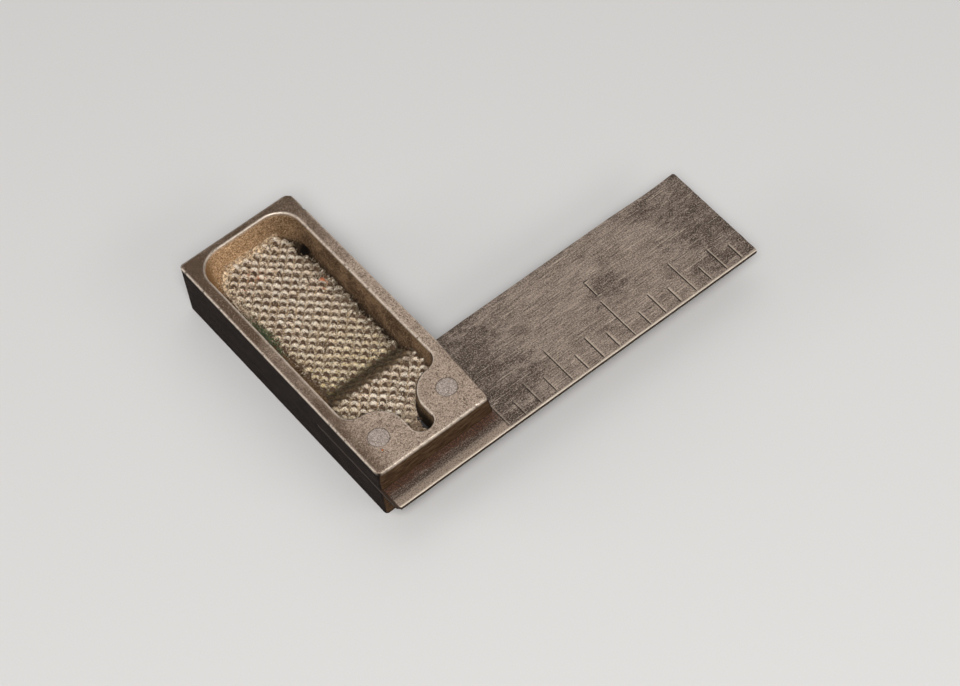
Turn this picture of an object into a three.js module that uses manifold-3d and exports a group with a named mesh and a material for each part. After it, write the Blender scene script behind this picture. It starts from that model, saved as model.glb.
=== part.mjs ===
// A small riveted try square, also used as a two-inch ruler.
// A thin graduated steel blade sits in a slot cut through a hollowed steel stock, two countersunk
// rivets hold it there at a right angle, and a scrap of coarse looped cloth lines the hollow.
//
// Millimetres. The origin is the centre of the stock's underside. +X runs along the blade to its
// tip, +Y along the stock to the end away from the blade, +Z up.
import * as THREE from 'three';
import { mergeVertices } from 'three/addons/utils/BufferGeometryUtils.js';
import Module from 'manifold-3d';

const wasm = await Module();
wasm.setup();

// Stock.
const stockWidth = 22;
const stockLength = 52.7;
const stockHeight = 11.5;
const stockCornerRadius = 0.7;
const stockEdgeBevel = 0.3;

// Blade. Its underside rests on the slot's floor, and its butt is flush with the stock's outer face.
const inch = 25.4;
const bladeReach = 2 * inch;
const bladeWidth = 20.8;
const bladeThickness = 0.8;
const bladeUnderside = 6.15;
const bladeOverhang = 4.2;
const bladeButtChamfer = 0.45;
const slotEndClearance = 0.05;

// Graduations: eighths of an inch from the stock's working face, cut from the blade's outer edge.
const divisions = 16;
const divisionPitch = inch / 8;
const lineWidth = 0.16;
const lineDepth = 0.1;
const lineEdgeInset = 0.4;
const lineLengths = { inch: 8.8, half: 7.1, quarter: 4.9, eighth: 3.4 };
const numeralHeight = 3.3;
const numeralSerif = 0.9;
const numeralBase = 10.3;
const numeralOffset = 0.4;

// Hollow in the stock's top: a bottle shape whose neck runs between the two rivet bosses.
const pocketHalfWidth = 8.95;
const pocketFarWall = 1.4;
const pocketFloor = 4.5;
const pocketDraft = 0.5;
const pocketFarRadius = 4.4;
const pocketNearRadius = 2.6;
const rivetX = 6.75;
const rivetFromEnd = 5.75;
const outerRivetOffset = 0.3;
const bossRadius = 4.8;
const neckHalfWidth = rivetX - bossRadius;
const neckFromEnd = 1.75;

// Rivets: a straight shank with a shallow countersunk head closed flush at each face.
const rivetShankRadius = 1.6;
const rivetHeadRadius = 1.77;
const rivetHeadDepth = 0.8;
const rivetClearance = 0.04;
const rivetSides = 40;

// Cloth lining: a single thickness on the hollow's floor that climbs over the blade's inner edge.
const clothThickness = 1.3;
const clothSideGap = 0.35;
const clothLift = 0.1;
const clothFootFromBlade = 3.4;

const curveSegments = 12;
const beyond = 1;

// Places worked out from the dimensions above.
const workingFace = stockWidth / 2;
const nearEnd = -stockLength / 2;
const farEnd = stockLength / 2;
const bladeTop = bladeUnderside + bladeThickness;
const bladeOuterEdge = nearEnd - bladeOverhang;
const bladeInnerEdge = bladeOuterEdge + bladeWidth;
const bladeTip = workingFace + bladeReach;
const rivetY = nearEnd + rivetFromEnd;

// The two rivets' places: each stands in a boss, and the outer one is a little nearer the end.
const outerRivetPlace = [-rivetX, rivetY - outerRivetOffset];
const innerRivetPlace = [rivetX, rivetY];

function toSolid(geometry) {
  const bare = geometry.index ? geometry.toNonIndexed() : geometry.clone();
  bare.deleteAttribute('normal');
  bare.deleteAttribute('uv');
  const merged = mergeVertices(bare, 1e-5);
  return new wasm.Manifold(new wasm.Mesh({
    numProp: 3,
    vertProperties: new Float32Array(merged.attributes.position.array),
    triVerts: new Uint32Array(merged.index.array),
  }));
}

function toGeometry(solid) {
  const mesh = solid.getMesh();
  const geometry = new THREE.BufferGeometry();
  geometry.setAttribute('position', new THREE.BufferAttribute(new Float32Array(mesh.vertProperties), 3));
  geometry.setIndex(new THREE.BufferAttribute(new Uint32Array(mesh.triVerts), 1));
  geometry.computeVertexNormals();
  return geometry;
}

function boxBetween(low, high) {
  const size = high.map((value, axis) => value - low[axis]);
  const geometry = new THREE.BoxGeometry(...size);
  geometry.translate(...low.map((value, axis) => value + size[axis] / 2));
  return toSolid(geometry);
}

function prism(shape, bottom, top) {
  const geometry = new THREE.ExtrudeGeometry(shape, { depth: top - bottom, bevelEnabled: false, curveSegments });
  geometry.translate(0, 0, bottom);
  return toSolid(geometry);
}

// A solid of revolution about a vertical line at (x, y), from a profile of [radius, height] pairs.
function turned(profile, x, y) {
  const points = profile.map(([radius, height]) => new THREE.Vector2(radius, height));
  const geometry = new THREE.LatheGeometry(points, rivetSides);
  geometry.rotateX(Math.PI / 2);
  geometry.translate(x, y, 0);
  return toSolid(geometry);
}

function roundedRectangle(halfWidth, halfLength, radius) {
  const shape = new THREE.Shape();
  shape.absarc(halfWidth - radius, halfLength - radius, radius, 0, Math.PI / 2);
  shape.absarc(-halfWidth + radius, halfLength - radius, radius, Math.PI / 2, Math.PI);
  shape.absarc(-halfWidth + radius, -halfLength + radius, radius, Math.PI, 1.5 * Math.PI);
  shape.absarc(halfWidth - radius, -halfLength + radius, radius, 1.5 * Math.PI, 2 * Math.PI);
  shape.closePath();
  return shape;
}

// The hollow's outline, drawn inwards by inset. The round shoulder beside each rivet boss meets the
// boss and the side wall tangentially, and so does the boss with the neck.
function pocketOutline(inset) {
  const half = pocketHalfWidth - inset;
  const farRadius = pocketFarRadius - inset;
  const shoulder = pocketNearRadius - inset;
  const boss = bossRadius + inset;
  const neck = neckHalfWidth - inset;
  const far = farEnd - pocketFarWall - inset;
  const neckCentre = nearEnd + neckFromEnd + neckHalfWidth;
  const shoulderX = half - shoulder;
  const reach = Math.sqrt((boss + shoulder) ** 2 - (shoulderX - rivetX) ** 2);
  const shoulderY = rivetY + reach;
  const tangent = Math.atan2(reach, shoulderX - rivetX);
  const shape = new THREE.Shape();
  shape.absarc(half - farRadius, far - farRadius, farRadius, 0, Math.PI / 2);
  shape.absarc(-half + farRadius, far - farRadius, farRadius, Math.PI / 2, Math.PI);
  shape.absarc(-shoulderX, shoulderY, shoulder, Math.PI, 2 * Math.PI - tangent);
  shape.absarc(-rivetX, rivetY, boss, Math.PI - tangent, 0, true);
  shape.absarc(0, neckCentre, neck, Math.PI, 2 * Math.PI);
  shape.absarc(rivetX, rivetY, boss, Math.PI, tangent, true);
  shape.absarc(shoulderX, shoulderY, shoulder, tangent - Math.PI, 0);
  shape.closePath();
  return shape;
}

function stockBlank() {
  const outline = roundedRectangle(
    stockWidth / 2 - stockEdgeBevel,
    stockLength / 2 - stockEdgeBevel,
    stockCornerRadius - stockEdgeBevel,
  );
  const geometry = new THREE.ExtrudeGeometry(outline, {
    depth: stockHeight - 2 * stockEdgeBevel,
    bevelThickness: stockEdgeBevel,
    bevelSize: stockEdgeBevel,
    bevelSegments: 2,
    curveSegments: 4,
  });
  geometry.translate(0, 0, stockEdgeBevel);
  return toSolid(geometry);
}

// The tool that hollows the stock: its walls lean in by the draft on the way down, and over the
// blade it stops at the slot, so that the lower cheek stays whole there.
function pocketTool() {
  const depth = stockHeight - pocketFloor;
  const geometry = new THREE.ExtrudeGeometry(pocketOutline(0), {
    depth: beyond,
    bevelThickness: depth,
    bevelSize: pocketDraft,
    bevelOffset: -pocketDraft,
    bevelSegments: 1,
    curveSegments,
  });
  geometry.translate(0, 0, stockHeight);
  const wide = stockWidth;
  const above = stockHeight + depth + 2 * beyond;
  const overBlade = boxBetween([-wide, nearEnd - beyond, bladeUnderside], [wide, farEnd + beyond, above]);
  const pastBlade = boxBetween([-wide, bladeInnerEdge, 0], [wide, farEnd + beyond, above]);
  return toSolid(geometry).intersect(overBlade.add(pastBlade));
}

function rivetProfile(clearance, extra) {
  const head = rivetHeadRadius + clearance;
  const shank = rivetShankRadius + clearance;
  const profile = [[0, -extra], [head, -extra]];
  if (extra > 0) {
    profile.push([head, 0]);
  }
  profile.push([shank, rivetHeadDepth], [shank, stockHeight - rivetHeadDepth], [head, stockHeight]);
  if (extra > 0) {
    profile.push([head, stockHeight + extra]);
  }
  profile.push([0, stockHeight + extra]);
  return profile;
}

function stock() {
  const slot = boxBetween(
    [-stockWidth, nearEnd - beyond, bladeUnderside],
    [stockWidth, bladeInnerEdge + slotEndClearance, bladeTop],
  );
  let solid = stockBlank().subtract(pocketTool()).subtract(slot);
  for (const place of [outerRivetPlace, innerRivetPlace]) {
    solid = solid.subtract(turned(rivetProfile(rivetClearance, beyond), ...place));
  }
  return solid;
}

function lineLength(division) {
  if (division % 8 === 0) {
    return lineLengths.inch;
  }
  if (division % 4 === 0) {
    return lineLengths.half;
  }
  return division % 2 === 0 ? lineLengths.quarter : lineLengths.eighth;
}

function engraved(left, low, right, high) {
  return boxBetween([left, low, bladeTop - lineDepth], [right, high, bladeTop + beyond]);
}

function blade() {
  const butt = -stockWidth / 2;
  const outline = new THREE.Shape([
    new THREE.Vector2(butt + bladeButtChamfer, bladeOuterEdge),
    new THREE.Vector2(bladeTip, bladeOuterEdge),
    new THREE.Vector2(bladeTip, bladeInnerEdge),
    new THREE.Vector2(butt, bladeInnerEdge),
    new THREE.Vector2(butt, bladeOuterEdge + bladeButtChamfer),
  ]);
  let solid = prism(outline, bladeUnderside, bladeTop);
  for (const place of [outerRivetPlace, innerRivetPlace]) {
    solid = solid.subtract(turned(rivetProfile(rivetClearance, beyond), ...place));
  }
  const start = bladeOuterEdge + lineEdgeInset;
  for (let division = 0; division < divisions; division += 1) {
    const centre = workingFace + division * divisionPitch;
    const length = division === 0 ? lineLengths.quarter : lineLength(division);
    solid = solid.subtract(engraved(centre - lineWidth / 2, start, centre + lineWidth / 2, start + length));
  }
  // The numeral 1 at the inch line: a stem with a short stroke at each end.
  const stem = workingFace + inch + numeralOffset;
  const foot = bladeOuterEdge + numeralBase;
  const head = foot + numeralHeight;
  solid = solid.subtract(engraved(stem, foot, stem + lineWidth, head));
  solid = solid.subtract(engraved(stem, head - lineWidth, stem + numeralSerif, head));
  return solid.subtract(engraved(stem, foot, stem + numeralSerif, foot + lineWidth));
}

// The lining's side view is drawn in (Y, Z), pushed along X, and trimmed to the hollow's outline.
function clothLining() {
  const foot = bladeInnerEdge + clothFootFromBlade;
  const low = pocketFloor + clothLift;
  const high = bladeTop + clothLift;
  const half = pocketHalfWidth;
  const side = new THREE.Shape([
    new THREE.Vector2(farEnd, low),
    new THREE.Vector2(farEnd, low + clothThickness),
    new THREE.Vector2(foot, low + clothThickness),
    new THREE.Vector2(bladeInnerEdge + clothLift, high + clothThickness),
    new THREE.Vector2(nearEnd, high + clothThickness),
    new THREE.Vector2(nearEnd, high),
    new THREE.Vector2(bladeInnerEdge + clothLift, high),
    new THREE.Vector2(foot, low),
  ]);
  const geometry = new THREE.ExtrudeGeometry(side, { depth: 2 * half, bevelEnabled: false });
  // (x, y, z) of the drawing becomes (z, x, y) of the part.
  geometry.applyMatrix4(new THREE.Matrix4().set(0, 0, 1, -half, 1, 0, 0, 0, 0, 1, 0, 0, 0, 0, 0, 1));
  const outline = prism(pocketOutline(pocketDraft + clothSideGap), 0, stockHeight + beyond);
  return toSolid(geometry).intersect(outline);
}

function part(name, solid, color, roughness, metalness) {
  const material = new THREE.MeshStandardMaterial({ color, roughness, metalness });
  const mesh = new THREE.Mesh(toGeometry(solid), material);
  mesh.name = name;
  return mesh;
}

const rivet = (place) => turned(rivetProfile(0, 0), ...place);
const square = new THREE.Group();
square.add(
  part('stock', stock(), 0x7d7064, 0.45, 0.9),
  part('blade', blade(), 0x82786e, 0.4, 0.95),
  part('outer_rivet', rivet(outerRivetPlace), 0xa59e96, 0.5, 0.9),
  part('inner_rivet', rivet(innerRivetPlace), 0xa59e96, 0.5, 0.9),
  part('cloth_lining', clothLining(), 0xc9b899, 0.95, 0),
);

export default square;
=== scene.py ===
import math

import bmesh
import bpy
import numpy as np
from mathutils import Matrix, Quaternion, Vector


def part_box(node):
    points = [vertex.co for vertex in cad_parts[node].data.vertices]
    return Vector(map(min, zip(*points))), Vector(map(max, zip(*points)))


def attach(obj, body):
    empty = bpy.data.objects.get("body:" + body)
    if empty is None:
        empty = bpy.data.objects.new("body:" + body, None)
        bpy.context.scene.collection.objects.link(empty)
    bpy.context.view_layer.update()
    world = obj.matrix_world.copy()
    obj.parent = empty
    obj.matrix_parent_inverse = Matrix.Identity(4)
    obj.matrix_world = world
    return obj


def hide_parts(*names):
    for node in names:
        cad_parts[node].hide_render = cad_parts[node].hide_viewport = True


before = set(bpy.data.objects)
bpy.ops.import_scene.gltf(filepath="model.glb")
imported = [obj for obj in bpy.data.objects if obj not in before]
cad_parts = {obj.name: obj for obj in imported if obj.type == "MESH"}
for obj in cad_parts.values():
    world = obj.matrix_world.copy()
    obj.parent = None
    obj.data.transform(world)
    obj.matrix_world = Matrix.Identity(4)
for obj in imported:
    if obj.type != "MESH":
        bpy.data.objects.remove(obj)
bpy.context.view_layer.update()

MM = 0.001
random = np.random.default_rng(17)


def box_mm(node):
    low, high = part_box(node)
    return np.array(low) / MM, np.array(high) / MM


STOCK_LOW, STOCK_HIGH = box_mm("stock")
BLADE_LOW, BLADE_HIGH = box_mm("blade")
RIVETS = {name: box_mm(name) for name in ("outer_rivet", "inner_rivet")}

HALF_WIDTH = STOCK_HIGH[0]
NEAR_END, FAR_END = STOCK_LOW[1], STOCK_HIGH[1]
TOP = STOCK_HIGH[2]
BLADE_TOP, BLADE_UNDER = BLADE_HIGH[2], BLADE_LOW[2]
BLADE_OUTER, BLADE_INNER = BLADE_LOW[1], BLADE_HIGH[1]
BUTT, TIP = BLADE_LOW[0], BLADE_HIGH[0]
RIVET_PLACES = [(low[:2] + high[:2]) / 2 for low, high in RIVETS.values()]
RIVET_RADIUS = (RIVETS["inner_rivet"][1][0] - RIVETS["inner_rivet"][0][0]) / 2
BOSS_X, BOSS_Y = RIVET_PLACES[1]

# The hollow, as the CAD cuts it.
POCKET_HALF = 8.95
POCKET_FAR = FAR_END - 1.4
POCKET_FLOOR = 4.5
POCKET_DRAFT = 0.5
POCKET_FAR_RADIUS = 4.4
FLOOR_FILLET = 1.8
SHOULDER_RADIUS = 2.6
BOSS_RADIUS = 4.8
NECK_HALF = BOSS_X - BOSS_RADIUS
NECK_CENTRE = NEAR_END + 1.75 + NECK_HALF
NECK_END = NECK_CENTRE - NECK_HALF

STOCK_CORNER = 0.6
SLOT_PLAY = 0.03
RIVET_HEAD_DEPTH = 0.8
RIVET_SHANK_RADIUS = 1.6
RIVET_PLAY = 0.012
RIVET_ROUNDING = 0.06

# Worn edges: the radius at the stock's foot, the mean radii of its top's outer edge and of the
# hollow's lip, and how far its inner near corner leans in at the top.
FOOT_EDGE = 0.25
TOP_EDGE = 0.15
LIP_EDGE = 0.15
CORNER_LEAN = 0.7

# The blade's bevels: along its sides, at its ends, and along its underside.
SIDE_BEVEL = 0.07
END_BEVEL = 0.08
LOW_BEVEL = 0.1

# Graduations.
INCH = 25.4
DIVISIONS = 16
LINE_WIDTH = 0.17
LINE_DEPTH = 0.09
LINE_START = 0.45
LINE_LENGTHS = {8: 8.8, 4: 7.1, 2: 4.9, 1: 3.4}
NUMERAL_WIDTH = 0.2
NUMERAL_DEPTH = 0.11
NUMERAL_X = HALF_WIDTH + INCH + 0.45
NUMERAL_LOW, NUMERAL_HIGH = BLADE_OUTER + 10.35, BLADE_OUTER + 13.65


# ---------------------------------------------------------------- numbers and meshes


def lattice_noise(points, seed=0):
    """Smooth value noise from -1 to 1 at points counted in cells, one value a point."""
    points = np.asarray(points, float)
    cell = np.floor(points).astype(np.int64)
    inside = points - cell
    inside = inside * inside * (3 - 2 * inside)
    total = np.zeros(len(points))
    for corner in range(8):
        step = np.array([corner & 1, corner >> 1 & 1, corner >> 2 & 1])
        key = ((cell + step) * np.array([374761393, 668265263, 2147483629])).sum(1) + seed * 974634777
        key = (key ^ (key >> 13)) * 1274126177 & 0xFFFFFFFF
        key = (key ^ (key >> 16)) * 668265263 & 0xFFFFFFFF
        weight = np.where(step == 1, inside, 1 - inside).prod(1)
        total += weight * (key / 0x7FFFFFFF - 1)
    return total


def smooth_step(low, high, value):
    share = np.clip((np.asarray(value, float) - low) / (high - low), 0, 1)
    return share * share * (3 - 2 * share)


def lifted(outline, height):
    """An outline of (x, y) rows at one height, or at a height for each row."""
    return np.column_stack([outline, np.broadcast_to(height, len(outline))])


def outward(outline):
    """The outward unit normals of a closed outline that runs clockwise."""
    along = np.roll(outline, -1, 0) - np.roll(outline, 1, 0)
    along /= np.linalg.norm(along, axis=1)[:, None]
    return np.column_stack([-along[:, 1], along[:, 0]])


def make_object(name, vertices, faces):
    mesh = bpy.data.meshes.new(name)
    mesh.from_pydata((np.asarray(vertices) * MM).tolist(), [], faces)
    mesh.validate()
    piece = bpy.data.objects.new(name, mesh)
    bpy.context.scene.collection.objects.link(piece)
    return piece


def loft_faces(loops, count, first=0):
    faces = []
    for loop in range(loops - 1):
        a, b = first + loop * count, first + (loop + 1) * count
        faces += [(a + i, a + (i + 1) % count, b + (i + 1) % count, b + i) for i in range(count)]
    return faces


def grid_faces(rows, columns):
    return [
        (r * columns + c, r * columns + c + 1, (r + 1) * columns + c + 1, (r + 1) * columns + c)
        for r in range(rows - 1)
        for c in range(columns - 1)
    ]


def grid_border(rows, columns):
    """The indices of a grid's outermost points, once round."""
    return np.concatenate([
        np.arange(columns),
        np.arange(1, rows) * columns + columns - 1,
        (rows - 1) * columns + np.arange(columns - 2, -1, -1),
        np.arange(rows - 2, 0, -1) * columns,
    ])


def merge_close(piece, distance=1e-7):
    work = bmesh.new()
    work.from_mesh(piece.data)
    bmesh.ops.remove_doubles(work, verts=work.verts, dist=distance)
    bmesh.ops.recalc_face_normals(work, faces=work.faces)
    work.to_mesh(piece.data)
    work.free()


def cut(piece, cutters):
    for cutter in cutters:
        tool = piece.modifiers.new("cut", "BOOLEAN")
        tool.operation = "DIFFERENCE"
        tool.solver = "EXACT"
        tool.object = cutter
    bpy.context.view_layer.update()
    graph = bpy.context.evaluated_depsgraph_get()
    result = bpy.data.meshes.new_from_object(piece.evaluated_get(graph))
    piece.modifiers.clear()
    old, piece.data = piece.data, result
    bpy.data.meshes.remove(old)
    for cutter in cutters:
        bpy.data.objects.remove(cutter)


def smooth(piece, angle=35):
    piece.data.shade_smooth()
    piece.data.set_sharp_from_angle(angle=math.radians(angle))


def positions(piece):
    flat = np.zeros(len(piece.data.vertices) * 3)
    piece.data.vertices.foreach_get("co", flat)
    return flat.reshape(-1, 3) / MM


def store(piece, name, values):
    attribute = piece.data.attributes.new(name, "FLOAT", "POINT")
    attribute.data.foreach_set("value", np.asarray(values, np.float32))


def box_cutter(low, high):
    corners = [(x, y, z) for x in (low[0], high[0]) for y in (low[1], high[1]) for z in (low[2], high[2])]
    faces = [(0, 1, 3, 2), (4, 6, 7, 5), (0, 4, 5, 1), (2, 3, 7, 6), (0, 2, 6, 4), (1, 5, 7, 3)]
    return make_object("cutter", corners, faces)


def turned_loops(profile, centre, sides):
    turn = np.arange(sides) * 2 * math.pi / sides
    ring = np.column_stack([np.cos(turn), np.sin(turn)])
    return [lifted(ring * radius + centre, height) for radius, height in profile]


def turned(name, profile, centre, sides=96):
    """A closed solid of revolution about a vertical line, its profile starting and ending near it."""
    loops = turned_loops(profile, centre, sides)
    faces = loft_faces(len(loops), sides)
    last = (len(loops) - 1) * sides
    faces += [tuple(range(sides))[::-1], tuple(range(last, last + sides))]
    piece = make_object(name, np.vstack(loops), faces)
    merge_close(piece)
    return piece


# ---------------------------------------------------------------- stock


def arc(centre, radius, start, end, count):
    turn = np.radians(np.linspace(start, end, count, endpoint=False))
    return np.column_stack([centre[0] + radius * np.cos(turn), centre[1] + radius * np.sin(turn)])


def line(start, end, count):
    share = np.linspace(0, 1, count, endpoint=False)[:, None]
    return np.array(start) * (1 - share) + np.array(end) * share


def mirrored(half):
    """Closes a right-hand half outline, whose ends lie on the stock's middle line, with its mirror."""
    return np.vstack([half, (half * [-1, 1])[-2:0:-1]])


def shoulder():
    """The shoulder arc's centre, and the angle at the boss of its tangent point with the boss."""
    x = POCKET_HALF - SHOULDER_RADIUS
    reach = math.sqrt((BOSS_RADIUS + SHOULDER_RADIUS) ** 2 - (x - BOSS_X) ** 2)
    return (x, BOSS_Y + reach), math.degrees(math.atan2(reach, x - BOSS_X))


# Points along each stretch of half an outline: far end, far corner, side, shoulder, the boss in
# three parts, and the neck's end.
STRETCHES = (44, 44, 220, 44, 30, 16, 34, 30)


def rim_half():
    far, corner, side, bend, boss_a, boss_b, boss_c, neck = STRETCHES
    centre, tangent = shoulder()
    radius = POCKET_FAR_RADIUS
    return np.vstack([
        line((0, POCKET_FAR), (POCKET_HALF - radius, POCKET_FAR), far),
        arc((POCKET_HALF - radius, POCKET_FAR - radius), radius, 90, 0, corner),
        line((POCKET_HALF, POCKET_FAR - radius), (POCKET_HALF, centre[1]), side),
        arc(centre, SHOULDER_RADIUS, 0, tangent - 180, bend),
        arc((BOSS_X, BOSS_Y), BOSS_RADIUS, tangent, 180, boss_a + boss_b + boss_c),
        arc((0, NECK_CENTRE), NECK_HALF, 0, -90, neck),
        [(0, NECK_END)],
    ])


def outer_half():
    far, corner, side, bend, boss_a, boss_b, boss_c, neck = STRETCHES
    r, w = STOCK_CORNER, HALF_WIDTH
    bend_start = shoulder()[0][1]
    boss_start = BOSS_Y + 0.6 * BOSS_RADIUS
    neck_start = 0.42 * w
    return np.vstack([
        line((0, FAR_END), (w - r, FAR_END), far),
        arc((w - r, FAR_END - r), r, 90, 0, corner),
        line((w, FAR_END - r), (w, bend_start), side),
        line((w, bend_start), (w, boss_start), bend),
        line((w, boss_start), (w, NEAR_END + r), boss_a),
        arc((w - r, NEAR_END + r), r, 0, -90, boss_b),
        line((w - r, NEAR_END), (neck_start, NEAR_END), boss_c),
        line((neck_start, NEAR_END), (0, NEAR_END), neck),
        [(0, NEAR_END)],
    ])


def uneven(outline, base, spread, seed):
    """A size that wanders along an outline, such as the radius of a worn edge."""
    coarse = lattice_noise(lifted(outline / 4.0, seed), seed)
    fine = lattice_noise(lifted(outline / 0.7, seed), seed + 1)
    return base + spread * (0.6 * coarse + 0.4 * fine)


def over_blade(y):
    """1 over the blade and 0 beyond its inner edge."""
    return 1 - smooth_step(BLADE_INNER - 0.2, BLADE_INNER + 0.2, y)


def hollow_floor(y):
    """The hollow's floor. Over the blade it stops inside the slot, which is cut afterwards."""
    return POCKET_FLOOR + over_blade(y) * ((BLADE_TOP + BLADE_UNDER) / 2 - POCKET_FLOOR)


def stock_loops():
    """Closed loops from the middle of the underside, up the sides, over the rim and down the hollow."""
    rim, outer = mirrored(rim_half()), mirrored(outer_half())
    rim_out, outer_out = outward(rim), outward(outer)
    spine = np.column_stack([np.zeros(len(outer)), np.clip(outer[:, 1], NEAR_END + 9, FAR_END - 9)])
    loops = []
    foot = outer - outer_out * FOOT_EDGE
    for share in (1.0, 0.6, 0.25, 0.06):
        loops.append(lifted(foot * (1 - share) + spine * share, 0))
    for turn in np.radians(np.linspace(0, 90, 5)):
        ring = outer - outer_out * FOOT_EDGE * (1 - math.sin(turn))
        loops.append(lifted(ring, FOOT_EDGE * (1 - math.cos(turn))))
    for share in np.linspace(0.08, 0.95, 8):
        loops.append(lifted(outer, FOOT_EDGE + share * (TOP - 0.25 - FOOT_EDGE)))
    edge = uneven(outer, TOP_EDGE, 0.06, 3)
    for turn in np.radians(np.linspace(0, 90, 6)):
        ring = outer - outer_out * (edge * (1 - math.cos(turn)))[:, None]
        loops.append(lifted(ring, TOP - edge * (1 - math.sin(turn))))
    far = smooth_step(POCKET_FAR - 7, POCKET_FAR - 2, rim[:, 1])
    lip = uneven(rim, LIP_EDGE, 0.05, 5) + 0.1 * far + 0.16 * np.clip(-rim_out[:, 1], 0, 1)
    start, end = outer - outer_out * edge[:, None], rim + rim_out * lip[:, None]
    for share in (0.04, 0.12, 0.25, 0.4, 0.55, 0.7, 0.82, 0.92, 0.97):
        loops.append(lifted(start * (1 - share) + end * share, TOP))
    for turn in np.radians(np.linspace(0, 90, 6)):
        ring = rim + rim_out * (lip * (1 - math.sin(turn)))[:, None]
        loops.append(lifted(ring, TOP - lip * (1 - math.cos(turn))))
    floor = hollow_floor(rim[:, 1])
    fillet = FLOOR_FILLET + over_blade(rim[:, 1]) * (0.12 - FLOOR_FILLET)
    wall = TOP - lip - floor - fillet
    for share in np.linspace(0.1, 0.94, 10):
        inset = POCKET_DRAFT * share
        loops.append(lifted(rim - rim_out * inset, TOP - lip - share * wall))
    for turn in np.radians(np.linspace(0, 90, 9)):
        inset = POCKET_DRAFT + fillet * (1 - math.cos(turn))
        loops.append(lifted(rim - rim_out * inset[:, None], floor + fillet * (1 - math.sin(turn))))
    foot = loops[-1][:, :2]
    middle = np.column_stack([np.zeros(len(rim)), np.clip(rim[:, 1], NECK_CENTRE, POCKET_FAR - 8)])
    for share in (0.1, 0.3, 0.6, 1.0):
        here = foot * (1 - share) + middle * share
        loops.append(lifted(here, hollow_floor(here[:, 1])))
    return loops


# Dents and burrs on the stock: place, radius, and how far the surface moves, in millimetres.
DENTS = (
    ((HALF_WIDTH, FAR_END - 4.0, TOP), 0.45, (-0.32, 0, -0.05)),
    ((HALF_WIDTH, FAR_END - 24.0, TOP), 0.3, (-0.12, 0, -0.02)),
    ((-HALF_WIDTH, NEAR_END + 8.2, TOP), 0.5, (-0.16, 0, 0.05)),
    ((-HALF_WIDTH, NEAR_END + 10.4, TOP), 0.35, (-0.12, 0, 0.03)),
    ((-HALF_WIDTH, NEAR_END + 12.6, TOP), 0.3, (0.12, 0, -0.02)),
    ((-HALF_WIDTH, NEAR_END + 30.0, TOP), 0.4, (0.1, 0, -0.03)),
    ((-HALF_WIDTH, FAR_END - 6.5, TOP), 0.35, (0.1, 0, -0.02)),
    ((-HALF_WIDTH + 1.5, NEAR_END, TOP), 0.5, (0, 0.12, -0.08)),
    ((HALF_WIDTH, FAR_END, TOP), 1.1, (-0.3, -0.3, -0.03)),
    ((-HALF_WIDTH, NEAR_END, TOP), 1.2, (0.25, 0.22, -0.08)),
)
NICKS = 130


def wear(points):
    """The stock's wear: a leaning inner corner at the near end, dents, and many small nicks."""
    points = points.copy()
    lean = CORNER_LEAN * np.clip((points[:, 2] - BLADE_TOP) / (TOP - BLADE_TOP), 0, 1)
    lean *= np.clip(1 - (points[:, 1] - NEAR_END) / 13.7, 0, 1)
    points[:, 0] -= lean * smooth_step(HALF_WIDTH - 4, HALF_WIDTH, points[:, 0])
    for place, radius, move in DENTS:
        near = np.exp(-((points - place) ** 2).sum(1) / (radius / 1.5) ** 2)
        points += near[:, None] * move
    for _ in range(NICKS):
        side = random.integers(4)
        along = random.uniform(NEAR_END, FAR_END)
        across = random.uniform(-HALF_WIDTH, HALF_WIDTH)
        lip = (POCKET_HALF, random.uniform(BOSS_Y + 7, POCKET_FAR - 5), TOP)
        place = [(-HALF_WIDTH, along, TOP), (HALF_WIDTH, along, TOP), (across, NEAR_END, TOP), lip][side]
        radius, depth = random.uniform(0.12, 0.35), random.uniform(0.01, 0.06)
        inward = [(depth, 0, -depth), (-depth, 0, -depth), (0, depth, -depth), (depth, 0, -depth)][side]
        near = np.exp(-((points - place) ** 2).sum(1) / radius**2)
        points += near[:, None] * inward
    return points


def make_stock():
    loops = stock_loops()
    count = len(loops[0])
    piece = make_object("steel_stock", wear(np.vstack(loops)), loft_faces(len(loops), count))
    merge_close(piece)
    slot = box_cutter(
        (-2 * HALF_WIDTH, NEAR_END - 5, BLADE_UNDER),
        (2 * HALF_WIDTH, BLADE_INNER + 0.05, BLADE_TOP + SLOT_PLAY),
    )
    head, shank = RIVET_RADIUS + RIVET_PLAY, RIVET_SHANK_RADIUS + RIVET_PLAY
    profile = [(head, -1), (head, 0), (shank, RIVET_HEAD_DEPTH)]
    profile += [(radius, TOP - height) for radius, height in profile[::-1]]
    holes = [turned("cutter", profile, place) for place in RIVET_PLACES]
    cut(piece, [slot, *holes])
    points = positions(piece)
    rim, outer = mirrored(rim_half()), mirrored(outer_half())
    to_rim, to_outer = nearest(points[:, :2], rim), nearest(points[:, :2], outer)
    # Near the top's edges: for wear, painted highlight and painted shade in the material.
    high = smooth_step(TOP - 0.35, TOP - 0.1, points[:, 2])
    edge = high * np.maximum(1.3 - to_rim / 0.3, 1 - to_outer / 0.3).clip(0, 1)
    store(piece, "edge", edge)
    store(piece, "hollow", inside_hollow(points, to_rim))
    smooth(piece)
    return piece


def nearest(points, outline):
    """Each point's distance to the nearest of an outline's points."""
    found = np.full(len(points), np.inf)
    for start in range(0, len(outline), 64):
        part = outline[start:start + 64]
        gap = points[:, None, :] - part[None, :, :]
        found = np.minimum(found, np.sqrt((gap**2).sum(2)).min(1))
    return found


def half_width_at(y):
    """Half the hollow's width at its rim, at places along the stock."""
    half = rim_half()[::-1]
    return np.interp(y, half[:, 1], half[:, 0], left=0, right=0)


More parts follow.
